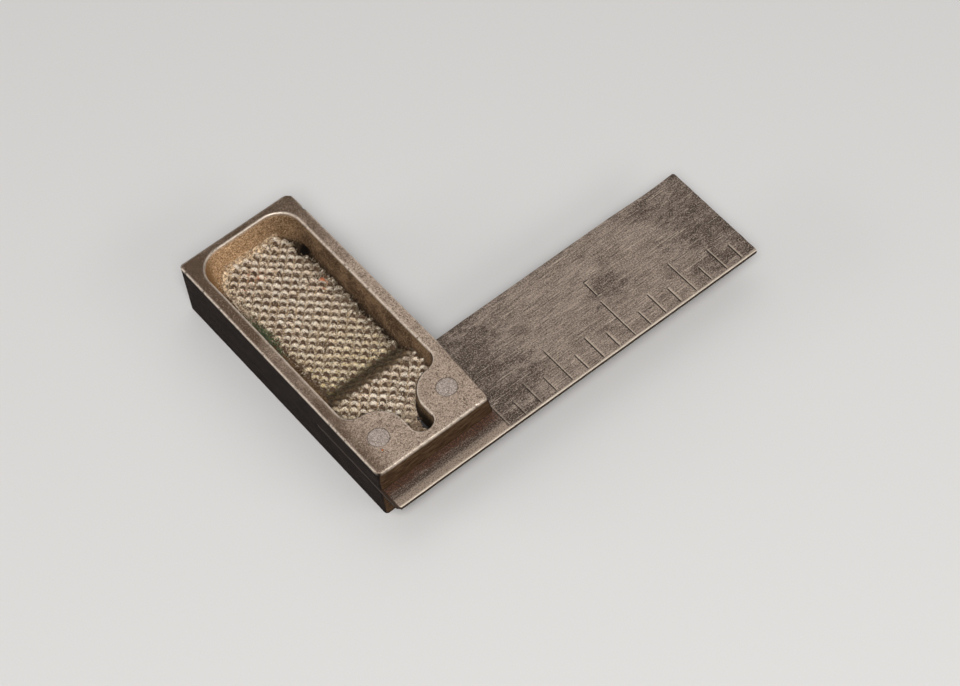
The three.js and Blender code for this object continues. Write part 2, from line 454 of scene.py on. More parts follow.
def inside_hollow(points, to_rim):
    """1 on the hollow's walls and floor, fading out at its rim."""
    within = (np.abs(points[:, 0]) < half_width_at(points[:, 1])) | (to_rim < 0.2)
    above = smooth_step(POCKET_FLOOR - 0.3, POCKET_FLOOR - 0.1, points[:, 2])
    return within * above * (1 - smooth_step(TOP - 0.3, TOP - 0.1, points[:, 2]))


# ---------------------------------------------------------------- blade


def division_length(division):
    for step in (8, 4, 2, 1):
        if division % step == 0:
            return LINE_LENGTHS[step] if division else LINE_LENGTHS[2]
    return 0


def strokes():
    """Engraved strokes on the blade's top, each from one (x, y) to another."""
    found = []
    for division in range(DIVISIONS):
        x = HALF_WIDTH + division * INCH / 8 + 0.1
        wobble = random.uniform(-0.03, 0.03)
        start = BLADE_OUTER + LINE_START + random.uniform(-0.1, 0.1)
        end = start + division_length(division) + random.uniform(-0.15, 0.15)
        found.append(((x, start), (x + wobble, end)))
    return found


def numeral():
    """The numeral 1 beside the inch line: a stem and a short stroke at each end."""
    x, low, high = NUMERAL_X, NUMERAL_LOW, NUMERAL_HIGH
    stem = ((x, low), (x + 0.05, high))
    return [stem, ((x, high), (x + 1.0, high + 0.02)), ((x, low), (x + 0.75, low - 0.05))]


def spaced_lines(low, high, step, centres, reach, fine):
    """Grid lines from low to high, a step apart and closer around each centre."""
    lines = list(np.linspace(low, high, int((high - low) / step) + 1))
    for centre in centres:
        clear = reach + 0.3 * fine
        lines = [value for value in lines if abs(value - centre) > clear or value in (low, high)]
        near = centre + np.arange(-reach, reach + 1e-6, fine)
        lines += [value for value in near if low < value < high]
    return np.array(sorted(lines))


def beside_stroke(points, start, end):
    """How far each point is from a stroke, towards the tip, and a share that is 1 between its ends."""
    start, end = np.array(start), np.array(end)
    length = np.linalg.norm(end - start)
    along = (end - start) / length
    offset = points - start
    t = offset @ along
    ends = smooth_step(-0.05, 0.12, t) * (1 - smooth_step(length - 0.15, length + 0.05, t))
    return offset @ np.array([along[1], -along[0]]), ends


def groove(points, start, end, width, depth):
    """How far an engraved stroke lowers the surface; its lip towards the tip is raised a little."""
    side, ends = beside_stroke(points, start, end)
    bottom = np.clip(1 - np.abs(side) / (width * 0.62), 0, 1) ** 0.7
    lip = np.exp(-(((side - width) / (0.35 * width)) ** 2)) * 0.25
    return ends * depth * (bottom - lip)


def beside(points, start, end, distance, spread):
    """1 on a line along a stroke, at a distance from it towards the tip, and less over a spread."""
    side, ends = beside_stroke(points, start, end)
    return ends * np.exp(-(((side - distance) / spread) ** 2))


def blade_top_grid(marks):
    """The blade's top as a grid of (x, y) rows, finest at the engraving, with its row and column counts."""
    reach, fine = 0.2, 0.05
    across_marks = [(start[0] + end[0]) / 2 for start, end in marks] + [HALF_WIDTH + INCH + 0.48]
    serifs = [BLADE_OUTER + 10.33, BLADE_OUTER + 13.66]
    x = spaced_lines(BUTT + END_BEVEL, TIP - END_BEVEL, 0.36, across_marks, reach, fine)
    y = spaced_lines(BLADE_OUTER + SIDE_BEVEL, BLADE_INNER - SIDE_BEVEL, 0.3, serifs, reach, fine)
    gx, gy = np.meshgrid(x, y)
    return blade_outline_wear(np.column_stack([gx.ravel(), gy.ravel()])), len(y), len(x)


def engraving(flat, marks):
    """How far the graduations, the numeral and a nick beside it lower the blade's top."""
    drop = np.zeros(len(flat))
    for start, end in marks:
        depth = groove(flat, start, end, LINE_WIDTH, LINE_DEPTH)
        drop = np.maximum(drop, depth) + np.minimum(0, depth)
    for start, end in numeral():
        drop = np.maximum(drop, groove(flat, start, end, NUMERAL_WIDTH, NUMERAL_DEPTH))
    drop += 0.05 * nick(flat, (HALF_WIDTH + 24.6, BLADE_OUTER + 8.4), (0.7, 0.22), 0.4)
    return np.where(flat[:, 0] < HALF_WIDTH - 1, 0, drop)


def blade_skirt(ring):
    """Closed loops from the border of the blade's top, over its worn bevel and down to its underside."""
    out = -outward(ring)
    long_side = (ring[:, 1] < BLADE_OUTER + 0.5) | (ring[:, 1] > BLADE_INNER - 0.3)
    wide = np.where(long_side, SIDE_BEVEL, END_BEVEL)
    wide = wide * (1 + 0.25 * lattice_noise(lifted(ring / 1.5, 2.0), 8))
    deep = wide * 0.8
    edge = ring + out * wide[:, None]
    loops = []
    for turn in np.radians((18, 36, 54, 72, 90)):
        bevelled = ring + out * (wide * math.sin(turn))[:, None]
        loops.append(lifted(bevelled, BLADE_TOP - deep * (1 - math.cos(turn))))
    for share in (0.4, 0.7):
        loops.append(lifted(edge, BLADE_TOP - share * (BLADE_TOP - BLADE_UNDER)))
    for turn in np.radians((0, 30, 60)):
        bevelled = edge - out * LOW_BEVEL * (1 - math.cos(turn))
        loops.append(lifted(bevelled, BLADE_UNDER + LOW_BEVEL * (1 - math.sin(turn))))
    return loops


def blade_mesh(marks):
    """The blade's points and faces: its top, the skirt round it, and its underside."""
    flat, rows, columns = blade_top_grid(marks)
    border = grid_border(rows, columns)
    loops = blade_skirt(flat[border])
    size, count = len(flat), len(border)
    top, under = lifted(flat, BLADE_TOP - engraving(flat, marks)), lifted(flat, BLADE_UNDER)
    points = np.vstack([top, *loops, under])
    first_under = size + len(loops) * count
    faces = grid_faces(rows, columns)
    faces += [tuple(first_under + index for index in reversed(face)) for face in faces]
    rings = [size + loop * count + np.arange(count) for loop in range(len(loops))]
    chain = [border, *rings, first_under + border]
    for upper, lower in zip(chain[:-1], chain[1:]):
        for i in range(count):
            after = (i + 1) % count
            faces.append((upper[i], lower[i], lower[after], upper[after]))
    return points, [tuple(int(index) for index in face) for face in faces]


def store_blade_shade_and_highlights(piece, marks):
    """Stores where the blade is engraved and its strokes' wall towards the butt, for painted shade; where a
    stroke's lip takes a painted highlight; and the outer top edge, which takes a painted highlight.
    """
    points = positions(piece)
    x, y, z = points.T
    engraved = np.clip((BLADE_TOP - z - 0.01) / (0.5 * LINE_DEPTH), 0, 1)
    crisp = 0.45 + 0.55 * smooth_step(HALF_WIDTH + 3, HALF_WIDTH + 20, x)
    long_edge = np.minimum(y - BLADE_OUTER, BLADE_INNER - y) < 0.3
    end_edge = np.minimum(x - BUTT, TIP - x) < 0.16
    on_top = z > BLADE_TOP - 0.35
    lip = np.zeros(len(points))
    for start, end in marks + numeral():
        engraved = np.maximum(engraved, beside(points[:, :2], start, end, -0.03, 0.1))
        lip = np.maximum(lip, beside(points[:, :2], start, end, 0.17, 0.06))
    store(piece, "groove", np.where(long_edge | end_edge | ~on_top, 0, engraved * crisp))
    store(piece, "lip", np.where(on_top, lip * crisp, 0))
    store(piece, "edge", (y - BLADE_OUTER < 0.1) * smooth_step(BLADE_TOP - 0.15, BLADE_TOP - 0.03, z))


def make_blade():
    marks = strokes()
    piece = make_object("steel_blade", *blade_mesh(marks))
    merge_close(piece)
    hole = RIVET_SHANK_RADIUS + RIVET_PLAY
    profile = [(hole, BLADE_UNDER - 1), (hole, BLADE_TOP + 1)]
    cut(piece, [turned("cutter", profile, place) for place in RIVET_PLACES])
    store_blade_shade_and_highlights(piece, marks)
    smooth(piece, 40)
    return piece


def blade_outline_wear(flat):
    """The butt's clipped corner, a slightly uneven tip, and an inner edge worn hollow near the tip."""
    flat = flat.copy()
    x, y = flat[:, 0], flat[:, 1]
    clip = np.clip(0.5 - (y - BLADE_OUTER - 0.2), 0, 0.5)
    flat[:, 0] += clip * (1 - smooth_step(BUTT, BUTT + 2, x))
    tip_round = np.clip(0.3 - (y - BLADE_OUTER - 0.2), 0, 0.3) ** 2
    tip_round = tip_round + np.clip(0.25 - (BLADE_INNER - y), 0, 0.25)
    uneven = 0.04 * lattice_noise(lifted(np.column_stack([y * 0, y / 1.4]), 5.0), 21)
    slant = 0.25 * np.clip((BLADE_INNER - y) / (BLADE_INNER - BLADE_OUTER), 0, 1)
    flat[:, 0] -= (tip_round + slant + np.abs(uneven)) * smooth_step(TIP - 2, TIP, x)
    hollow = 0.28 * np.exp(-(((x - TIP + 5.5) / 6.0) ** 2))
    hollow += 0.03 * lattice_noise(lifted(np.column_stack([x / 5.0, x * 0]), 9.0), 22)
    flat[:, 1] -= np.maximum(hollow, 0) * smooth_step(BLADE_INNER - 3, BLADE_INNER, y)
    return flat


def nick(points, centre, size, turn):
    offset = points - np.array(centre)
    c, s = math.cos(turn), math.sin(turn)
    across = np.column_stack([offset @ np.array([c, s]), offset @ np.array([-s, c])])
    return np.exp(-((across / np.array(size)) ** 2).sum(1))


# ---------------------------------------------------------------- rivets


def make_rivet(name, node):
    low, high = RIVETS[node]
    centre = (low[:2] + high[:2]) / 2
    radius = (high[0] - low[0]) / 2
    shank = RIVET_SHANK_RADIUS
    half = [(0.05, TOP), (0.25 * radius, TOP), (0.5 * radius, TOP), (0.75 * radius, TOP)]
    for turn in np.radians((0, 45, 90)):
        worn_in, worn_down = RIVET_ROUNDING * (1 - math.sin(turn)), RIVET_ROUNDING * (1 - math.cos(turn))
        half.append((radius - worn_in, TOP - worn_down))
    half += [(shank, TOP - RIVET_HEAD_DEPTH), (shank, TOP / 2)]
    profile = [(r, TOP - z) for r, z in half] + [(r, z) for r, z in half[::-1][1:]]
    piece = turned(name, profile, centre, 72)
    smooth(piece)
    return piece


# ---------------------------------------------------------------- cloth

# A coarse looped fabric, seen from its knobbly side, with its courses lying on the slant. Each
# course's yarn snakes from low bottoms on its near side, up pinched legs, to raised and thickened
# crests on its far side.
STITCH = np.array([1.0, -1.03])
COURSE = np.array([1.0, 1.03])
LOOP_REACH = 0.5
LEG_PINCH = 0.2
LOOP_SQUARENESS = 0.5
LOOP_RISE = 0.2
RISE_SHARPNESS = 1.4
CREST_RISE = 0.08
LEG_RISE = 0.04
# Where the courses start: a share of a stitch along them, and of a course across them.
ALONG_START, ACROSS_START = -0.37, -0.08
YARN_RADIUS = 0.3
LEG_SIZE, BEND_SIZE, CREST_SIZE = 0.58, 0.08, 0.4
SLUB = 0.42
PLY_TWIST, PLY_DEPTH = 1.7, 0.15
CLOTH_MIDDLE = 0.6
RAMP_TOP = BLADE_INNER - 0.1
RAMP_FOOT = BLADE_INNER + 4.0
# Where the cloth is cut, on the hollow's floor.
CLOTH_LEFT, CLOTH_RIGHT, CLOTH_FAR, CLOTH_CORNER = -6.6, 7.9, 24.4, 4.0
NOTCH_Y, NOTCH_DEPTH = 19.9, 0.8
# How many loose pieces of each kind lie on the cloth.
STRANDS, NECK_KNOTS, FRAY, FRINGE, LINT, TUFT = 6, 9, 330, 300, 2600, 170


def wall_gap(x, y):
    """The distance to the foot of the hollow's wall, away from the blade."""
    radius = POCKET_FAR_RADIUS - POCKET_DRAFT
    across = np.abs(x) - (POCKET_HALF - POCKET_DRAFT - radius)
    along = y - (POCKET_FAR - POCKET_DRAFT - radius)
    outside = np.hypot(np.maximum(across, 0), np.maximum(along, 0))
    return radius - outside - np.minimum(np.maximum(across, along), 0)


def climb(y):
    """0 on the hollow's floor, 1 over the blade."""
    return 1 - smooth_step(RAMP_TOP, RAMP_FOOT, y)


def cloth_height(x, y):
    """The middle of the cloth's thickness: on the floor, up its round foot, and over the blade."""
    x, y = np.broadcast_arrays(np.asarray(x, float), np.asarray(y, float))
    share = np.clip(1 - wall_gap(x, y) / FLOOR_FILLET, 0, 1) * (1 - climb(y))
    foot = FLOOR_FILLET * (1 - np.sqrt(1 - share**2))
    base = POCKET_FLOOR + climb(y) * (BLADE_TOP - POCKET_FLOOR) + CLOTH_MIDDLE + np.minimum(foot, 1.4)
    cells = np.column_stack([x.ravel() / 5, y.ravel() / 6, y.ravel() * 0])
    return base + 0.1 * lattice_noise(cells, 31).reshape(x.shape)


def cloth_limits(y):
    """The cloth's reach at places along the stock: the outer side's x and the inner side's x."""
    y = np.asarray(y, float)
    beyond = np.clip(y - (CLOTH_FAR - CLOTH_CORNER), 0, CLOTH_CORNER)
    corner = CLOTH_CORNER - np.sqrt(CLOTH_CORNER**2 - beyond**2)
    cells = np.column_stack([y.ravel() * 0, y.ravel() / 1.7, y.ravel() * 0])
    left = CLOTH_LEFT + corner + 0.15 * lattice_noise(cells, 33).reshape(y.shape)
    right = CLOTH_RIGHT - 0.5 * corner - 0.2 + 0.25 * lattice_noise(cells * 1.3, 34).reshape(y.shape)
    right = right - NOTCH_DEPTH * np.exp(-(((y - NOTCH_Y) / 1.3) ** 2))
    wide = half_width_at(y) - 0.4
    in_neck = 1 - smooth_step(NECK_CENTRE + 1.5, NECK_CENTRE + 4.0, y)
    neck_right = wide + in_neck * (np.minimum(wide, 0.8) - wide)
    rise = smooth_step(0.2, 0.9, climb(y))
    return left + rise * (-wide - left), right + rise * (neck_right - right)


def runs(inside):
    """(first, last) index pairs of each unbroken run of True."""
    edges = np.flatnonzero(np.diff(np.concatenate([[0], inside.astype(int), [0]])))
    return [(edges[i], edges[i + 1] - 1) for i in range(0, len(edges), 2)]


def pulled_smooth(y):
    """How much of the loops' relief is left: less on the ramp, where the cloth is stretched."""
    return 1 - 0.75 * smooth_step(0.02, 0.2, climb(y)) * (1 - smooth_step(0.85, 1.0, climb(y)))


def course_paths():
    """Each run of yarn: rows of (x, y, z), and the turn within the loop, half a turn at a crest."""
    paths = []
    near, far = NECK_END + 0.45, CLOTH_FAR
    for course in range(-18, 18):
        turn = np.arange(-16, 16, 1 / 22) * 2 * math.pi
        level = np.cos(turn)
        along = turn / (2 * math.pi) - LEG_PINCH * np.sin(turn) + ALONG_START
        cells = np.column_stack([turn / 9, turn * 0 + course * 3.1, turn * 0])
        along = along + 0.09 * lattice_noise(cells, 41) + 0.06 * lattice_noise(cells * 3, 45)
        up = course + ACROSS_START - LOOP_REACH * np.sign(level) * np.abs(level) ** LOOP_SQUARENESS
        up = up + 0.08 * lattice_noise(cells * 1.3, 42) + 0.08 * lattice_noise(cells * 4, 43)
        x, y = (along[:, None] * STITCH + up[:, None] * COURSE).T
        left, right = cloth_limits(y)
        relief = LOOP_RISE * (2 * np.abs(level) ** RISE_SHARPNESS - 1)
        relief = relief - CREST_RISE * level + LEG_RISE * np.sin(turn)
        relief = relief * pulled_smooth(y) + 0.1 * lattice_noise(cells * 4, 44)
        path = np.column_stack([x, y, cloth_height(x, y) + relief])
        for first, last in runs((x > left + 0.05) & (x < right - 0.05) & (y > near) & (y < far)):
            if last - first > 6:
                paths.append((path[first:last + 1], turn[first:last + 1]))
    return paths


def tube(path, half_width, half_height, sides, taper=1, plies=0):
    """Rings of an oval tube along a path, its ends drawn in and its plies twisted round each other."""
    tangent = np.gradient(path, axis=0)
    tangent /= np.linalg.norm(tangent, axis=1)[:, None]
    side = np.cross(tangent, [0, 0, 1])
    side /= np.linalg.norm(side, axis=1)[:, None]
    up = np.cross(side, tangent)
    turn = np.arange(sides) * 2 * math.pi / sides
    count = len(path)
    size = np.ones(count)[:, None]
    if plies:
        length = np.concatenate([[0], np.cumsum(np.linalg.norm(np.diff(path, axis=0), axis=1))])
        size = 1 + PLY_DEPTH * np.cos(plies * (turn[None, :] - 2 * math.pi * length[:, None] / PLY_TWIST))
    drawn = np.ones(count)
    drawn[:taper] *= np.linspace(0.35, 0.85, taper)
    drawn[-taper:] *= np.linspace(0.85, 0.35, taper)
    size = size * drawn[:, None]
    across = ((half_width[:, None] * size) * np.cos(turn))[:, :, None] * side[:, None, :]
    above = ((half_height[:, None] * size) * np.sin(turn))[:, :, None] * up[:, None, :]
    return path[:, None, :] + across + above


def tubes_object(name, tubes, sides):
    """One mesh of many closed tubes, with a UV map along and around each, and a number for each."""
    vertices, faces, uvs, numbers = [], [], [], []
    first = 0
    for rings in tubes:
        count = len(rings)
        vertices.append(rings.reshape(-1, 3))
        numbers.append(np.full(count * sides, random.random()))
        length = np.concatenate([[0], np.cumsum(np.linalg.norm(np.diff(rings.mean(1), axis=0), axis=1))])
        start = random.uniform(0, 50)
        for r in range(count - 1):
            for s in range(sides):
                a, b = first + r * sides, first + (r + 1) * sides
                t = (s + 1) % sides
                faces.append((a + s, a + t, b + t, b + s))
                low, high = start + length[r], start + length[r + 1]
                left, right = s / sides, (s + 1) / sides
                uvs += [(low, left), (low, right), (high, right), (high, left)]
        last = first + (count - 1) * sides
        faces.append(tuple(range(first, first + sides))[::-1])
        faces.append(tuple(range(last, last + sides)))
        uvs += [(start, 0)] * sides + [(start + length[-1], 0)] * sides
        first += count * sides
    piece = make_object(name, np.vstack(vertices), faces)
    layer = piece.data.uv_layers.new(name="yarn")
    layer.data.foreach_set("uv", np.array(uvs, np.float32).ravel())
    store(piece, "number", np.concatenate(numbers))
    return piece


def make_yarns():
    tubes, crests, away = [], [], []
    sides = 10
    up_course = COURSE / np.linalg.norm(COURSE)
    for path, turn in course_paths():
        slub = lattice_noise(path / 0.6 + random.integers(1000), 51)
        level = np.cos(turn)
        plump = LEG_SIZE + BEND_SIZE * np.abs(level) + CREST_SIZE * smooth_step(0.0, 0.8, -level)
        radius = YARN_RADIUS * plump * (1 + SLUB * slub)
        rings = tube(path, radius, radius * 0.92, sides, plies=3)
        tubes.append(rings)
        crests.append(np.repeat((1 - level) / 2, sides))
        # How far each point of a ring lies towards the yarn's far side, for painted shade.
        away.append(((rings - path[:, None, :])[:, :, :2] @ up_course).ravel() / YARN_RADIUS)
    piece = tubes_object("cloth_yarns", tubes, sides)
    points = positions(piece)
    # The height above the cloth's middle, for painted shade low down.
    store(piece, "relief", points[:, 2] - cloth_height(points[:, 0], points[:, 1]))
    store(piece, "crest", np.concatenate(crests))
    store(piece, "away", np.concatenate(away))
    piece.data.shade_smooth()
    return piece


def make_cloth_base():
    """The cloth's own body of matted fibre, seen between the yarns and painted dark as the shade in the
    gaps.
    """
    y = np.arange(NECK_END + 0.6, CLOTH_FAR - 0.2, 0.4)
    left, right = cloth_limits(y)
    columns = 25
    share = np.linspace(0, 1, columns)
    x = (left + 0.2)[:, None] + (right - left - 0.4)[:, None] * share[None, :]
    gy = np.repeat(y[:, None], columns, 1)
    matting = lattice_noise(np.column_stack([x.ravel() / 0.5, gy.ravel() / 0.5, x.ravel() * 0]), 61)
    z = cloth_height(x, gy) - 0.15 + 0.06 * matting.reshape(x.shape)
    points = np.column_stack([x.ravel(), gy.ravel(), z.ravel()])
    piece = make_object("cloth_base", points, grid_faces(len(y), columns))
    piece.data.shade_smooth()
    return piece


def fibre_path(start, heading, length, curl, rise, count=10):
    """A loose fibre's route: it sets off at a heading, curls, and arches off the surface."""
    share = np.linspace(0, 1, count)
    bend = heading + share * curl
    x = start[0] + np.cumsum(np.cos(bend)) * length / count
    y = start[1] + np.cumsum(np.sin(bend)) * length / count
    y = np.clip(y, NECK_END + 0.4, POCKET_FAR - 0.55)
    wide = half_width_at(y) - 0.55
    x = np.clip(x, -wide, wide)
    lift = start[2] + rise * np.sin(share * math.pi)
    stray = random.normal(0, 1e-3, (count, 3))
    return np.column_stack([x, y, cloth_height(x, y) + lift]) + stray


def loose_fibre(start, heading, lengths, curl, rise):
    """A fibre's route with a random length from a range, a random curl and a random rise."""
    length = random.uniform(*lengths)
    return fibre_path(start, heading, length, random.normal(0, curl), random.uniform(0, rise))


def far_border():
    """The cloth's cut edge, up its outer side, round the corner and along its far end."""
    side = np.arange(14.0, CLOTH_FAR - 0.2, 0.1)
    outer = np.column_stack([cloth_limits(side)[0], side])
    end = np.arange(outer[-1, 0] + 0.1, 6.0, 0.1)
    edge = 0.15 * lattice_noise(np.column_stack([end / 1.2, end * 0, end * 0]), 71)
    return np.vstack([outer, np.column_stack([end, CLOTH_FAR - 0.1 + edge])])


def make_edge_strands():
    """Pulled yarn lying loosely along the cloth's cut edge at the far end."""
    border = far_border()
    tubes = []
    for strand in range(STRANDS):
        first = random.integers(0, 40)
        part = border[first:len(border) - random.integers(5, 50)]
        wander = lattice_noise(lifted(part / 1.1, strand * 3.7), 72)
        inward = -outward(part) * (0.1 * strand - 0.2 + 0.2 * wander)[:, None]
        x, y = (part + inward).T
        x, y = np.clip(x, -POCKET_HALF + 1.4, None)[1:-1], np.clip(y, None, POCKET_FAR - 0.9)[1:-1]
        cells = np.column_stack([x / 0.9, y / 0.9, x * 0 + strand])
        height = cloth_height(x, y) + 0.22 + 0.14 * lattice_noise(cells, 73)
        path = np.column_stack([x, y, height])
        thick = 0.16 * (1 + 0.5 * lattice_noise(path / 0.5, 74))
        tubes.append(tube(path, thick, thick, 8, 4, plies=3))
    for _ in range(NECK_KNOTS):
        start = (random.uniform(-1.2, 0.4), random.uniform(NECK_END + 0.6, NECK_CENTRE + 2.0), 0.1)
        curl = random.choice([-1, 1]) * random.uniform(3.5, 6.5)
        path = fibre_path(start, random.uniform(0, 2 * math.pi), random.uniform(1.3, 2.2), curl, 0.35, 16)
        thick = 0.13 * (1 + 0.5 * lattice_noise(path / 0.4, 75))
        tubes.append(tube(path, thick, thick, 8, 3, plies=3))
    piece = tubes_object("cloth_edge_strands", tubes, 8)
    piece.data.shade_smooth()
    return piece


def make_fibres():
    """Loose fibres: frayed yarn along the far edge, a fringe along the others, and lint on the face."""
    tubes = []

    def add(path, thick, sides=5):
        size = thick * random.uniform(0.7, 1.3) * np.ones(len(path))
        tubes.append(tube(path, size, size, sides, 3))

    border = far_border()
    along = np.gradient(border, axis=0)
    for _ in range(FRAY):
        at = random.integers(len(border))
        inward = random.uniform(-0.3, 0.25)
        heading = math.atan2(along[at, 1], along[at, 0])
        x = border[at, 0] - inward * math.sin(heading)
        y = border[at, 1] + inward * math.cos(heading)
        turned_by = heading + random.choice([0, math.pi]) + random.normal(0, 0.4)
        start = (x, y, random.uniform(-0.1, 0.45))
        add(loose_fibre(start, turned_by, (0.5, 1.5), 0.9, 0.25), 0.05)
    for _ in range(FRINGE):
        y = random.uniform(-22, 22)
        left, right = (float(limit) for limit in cloth_limits(y))
        outer = random.random() < 0.5
        x = left + 0.15 if outer else right - 0.15
        heading = (math.pi if outer else 0) + random.normal(0, 1.1)
        start = (x, y, random.uniform(-0.1, 0.4))
        add(loose_fibre(start, heading, (0.2, 0.55), 1.8, 0.25), 0.045)
    for _ in range(LINT):
        y = random.uniform(-22, CLOTH_FAR - 0.5)
        left, right = (float(limit) for limit in cloth_limits(y))
        if right - left < 1:
            continue
        start = (random.uniform(left + 0.2, right - 0.2), y, random.uniform(0.2, 0.5))
        heading = random.uniform(0, 2 * math.pi)
        add(loose_fibre(start, heading, (0.3, 1.0), 2.2, 0.2), 0.035)
    piece = tubes_object("cloth_fibres", tubes, 5)
    piece.data.shade_smooth()
    return piece


def make_tuft():
    """A tuft of dyed lint caught between the cloth and the outer wall."""
    tubes = []
    for _ in range(TUFT):
        y = random.triangular(5.0, 10.5, 15.0)
        start = (random.uniform(-7.3, -6.5), y, random.uniform(-0.3, 0.35))
        heading = random.normal(math.pi / 2, 0.6) + random.choice([0, math.pi])
        path = loose_fibre(start, heading, (0.8, 2.2), 1.8, 0.5)
        size = np.full(len(path), random.uniform(0.03, 0.06))
        tubes.append(tube(path, size, size, 5, 3))
    piece = tubes_object("green_lint", tubes, 5)
    piece.data.shade_smooth()
    return piece


# ---------------------------------------------------------------- materials


class Shader:
    """A material's node tree, with short calls for the nodes that these materials use."""

    def __init__(self, name):
        self.material = bpy.data.materials.new(name)
        self.material.use_nodes = True
        self.tree = self.material.node_tree
        self.surface = self.tree.nodes["Principled BSDF"]
        self.place = self.tree.nodes.new("ShaderNodeTexCoord").outputs["Object"]
        scaled = self.node("VectorMath", {"Vector": self.place, "Scale": 1 / MM}, operation="SCALE")
        self.place_mm = scaled.outputs["Vector"]

    def node(self, kind, inputs=None, **settings):
        made = self.tree.nodes.new("ShaderNode" + kind)
        for name, value in settings.items():
            setattr(made, name, value)
        for name, value in (inputs or {}).items():
            self.feed(made.inputs[name], value)
        return made

    def feed(self, socket, value):
        if isinstance(value, bpy.types.NodeSocket):
            self.tree.links.new(value, socket)
        elif socket.type == "RGBA" and not hasattr(value, "__len__"):
            socket.default_value = (value, value, value, 1)
        elif socket.type == "RGBA":
            socket.default_value = (*value, 1) if len(value) == 3 else value
        else:
            socket.default_value = value

    def noise(self, size, detail=3, roughness=0.55, distortion=0.0, stretch=(1, 1, 1)):
        """Noise with cells of a size in millimetres, stretched along each axis."""
        scale = tuple(1 / (MM * (size * factor)) for factor in stretch)
        vector = self.node("Mapping", {"Vector": self.place, "Scale": scale}).outputs["Vector"]
        settings = {"Scale": 1.0, "Detail": detail, "Roughness": roughness, "Distortion": distortion}
        return self.node("TexNoise", {"Vector": vector, **settings}).outputs["Fac"]

    def maths(self, operation, a, b=0.0, clamp=False):
        made = self.node("Math", operation=operation, use_clamp=clamp)
        self.feed(made.inputs[0], a)
        self.feed(made.inputs[1], b)
        return made.outputs[0]

    def plus(self, a, b, clamp=False):
        return self.maths("ADD", a, b, clamp)

    def times(self, a, b):
        return self.maths("MULTIPLY", a, b)

    def most(self, a, b):
        return self.maths("MAXIMUM", a, b)

    def range(self, value, low, high, to_low=0.0, to_high=1.0):
        made = self.node(
            "MapRange",
            {"Value": value, "From Min": low, "From Max": high, "To Min": to_low, "To Max": to_high},
            interpolation_type="SMOOTHSTEP",
        )
        return made.outputs["Result"]

    def mix(self, share, a, b, blend="MIX"):
        made = self.node("Mix", data_type="RGBA", blend_type=blend)
        self.feed(made.inputs[0], share)
        self.feed(made.inputs[6], a)
        self.feed(made.inputs[7], b)
        return made.outputs[2]

    def layers(self, color, *tints):
        """A colour with tints laid over it in turn. Each is a value, its low and high, the tint's share
        at each of them, and the tint."""
        for value, low, high, first, last, tint in tints:
            color = self.mix(self.range(value, low, high, first, last), color, tint)
        return color

    def attribute(self, name):
        return self.node("Attribute", attribute_name=name).outputs["Fac"]

    def axis(self, name):
        """The place along an axis, in millimetres."""
        return self.node("SeparateXYZ", {"Vector": self.place_mm}).outputs[name]

    def distance(self, place):
        """The distance from a place, in millimetres."""
        offset = self.node("VectorMath", operation="DISTANCE")
        self.feed(offset.inputs[0], self.place_mm)
        self.feed(offset.inputs[1], tuple(float(value) for value in place))
        return offset.outputs["Value"]

    def near(self, place, radius):
        """1 at a place, falling to 0 at a radius."""
        return self.range(self.distance(place), 0.3 * radius, radius, 1, 0)

    def facing(self, axis):
        """How far the surface faces along an axis, from -1 to 1."""
        normal = self.node("NewGeometry").outputs["Normal"]
        return self.node("SeparateXYZ", {"Vector": normal}).outputs[axis]

    def bump(self, height, distance, strength=1.0, normal=None):
        made = self.node("Bump", {"Height": height, "Distance": distance * MM, "Strength": strength})
        if normal is not None:
            self.feed(made.inputs["Normal"], normal)
        return made.outputs["Normal"]

    def finish(self, color, roughness, metallic, normal, level=0.5, sheen=0.0):
        """The finished material, with a level for its dielectric reflection and a weight for its sheen."""
        names = ("Base Color", "Roughness", "Metallic", "Normal", "Specular IOR Level", "Sheen Weight")
        for name, value in zip(names, (color, roughness, metallic, normal, level, sheen)):
            self.feed(self.surface.inputs[name], value)
        return self.material


def worn_top(s, x, y, speckle, grain, blotch):
    """The stock's top: cleanest by the inner rivet, browner towards the far end and the outer side."""
    toned = s.plus(s.range(y, 0, 27, 0, 0.95), s.range(x, -10.5, -6.5, 0.8, 0.0))
    toned = s.plus(toned, s.range(blotch, 0.35, 0.65, -0.2, 0.2), clamp=True)
    shine = s.mix(toned, (0.66, 0.53, 0.43), (0.3, 0.215, 0.155))
    return s.layers(
        s.mix(toned, (0.46, 0.35, 0.272), (0.1, 0.062, 0.04)),
        (grain, 0.36, 0.56, 0.85, 0, (0.11, 0.076, 0.053)),
        (speckle, 0.51, 0.62, 0, 0.9, shine),
        (speckle, 0.34, 0.48, 0.62, 0, (0.06, 0.041, 0.029)),
        (y, 19, 24, 0, 0.3, (0.07, 0.044, 0.029)),
    )


